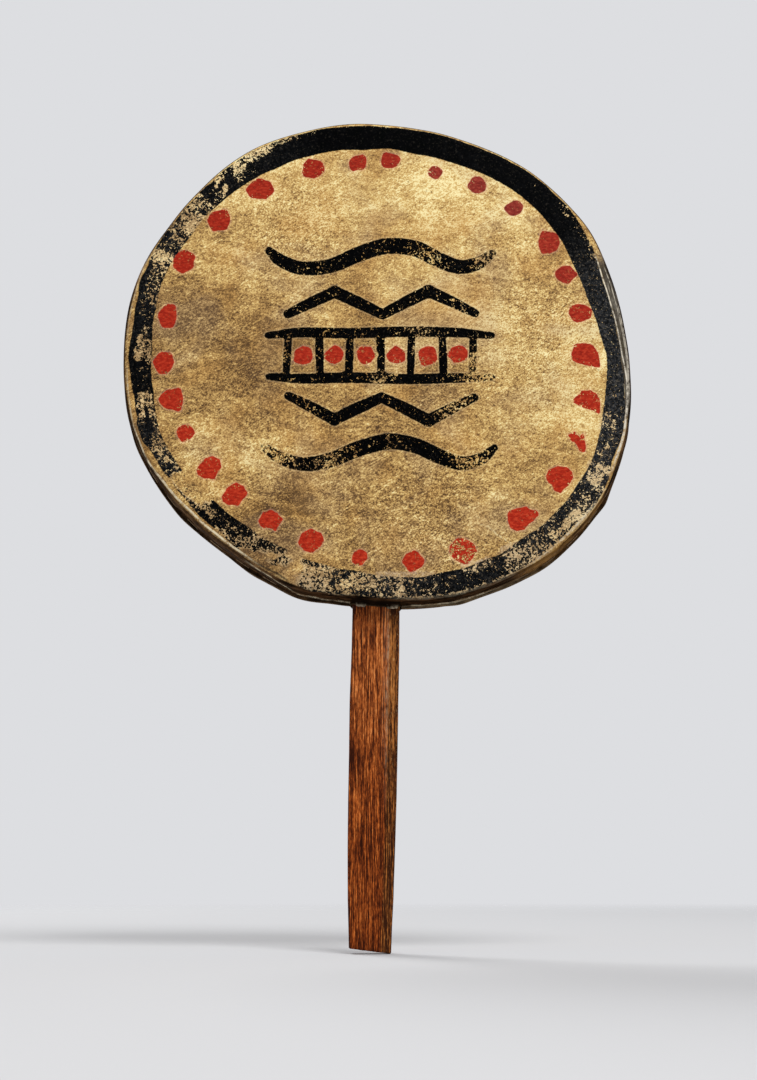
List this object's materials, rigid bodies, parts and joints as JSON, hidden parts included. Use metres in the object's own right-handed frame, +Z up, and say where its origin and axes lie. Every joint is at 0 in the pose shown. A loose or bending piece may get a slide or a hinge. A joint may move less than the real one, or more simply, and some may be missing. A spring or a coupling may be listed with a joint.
{
  "type": "frame drum",
  "caption": "Hand-held drum: painted rawhide head and plain back head sewn together around a bent wooden hoop, on a flat wooden handle.",
  "frame": {"origin": "centre of the back head's flat outer face, level with the middle of the hoop", "axes": "+Z up along the drum, away from the handle; -Y out of the painted playing head; +Y out of the plain back head; +X to the right seen from the painted side"},
  "size_m": [0.2876, 0.036, 0.4694],
  "materials": {
    "painted_rawhide": "dried rawhide, golden tan, hand-painted border and marks",
    "plain_rawhide": "dried rawhide, unpainted",
    "hoop_wood": "bare steam-bent softwood",
    "handle_wood": "softwood lath, red-brown stain, worn",
    "peg_wood": "bare hardwood",
    "iron": "dull iron wire",
    "sinew": "twisted sinew"
  },
  "bodies": {
    "root": {"front_head": "painted_rawhide", "back_head": "plain_rawhide", "hoop": "hoop_wood", "handle": "handle_wood", "handle_peg": "peg_wood", "spine_nails": "iron", "hoop_tacks": "iron", "seam_thread": "sinew"}
  },
  "joints": []
}
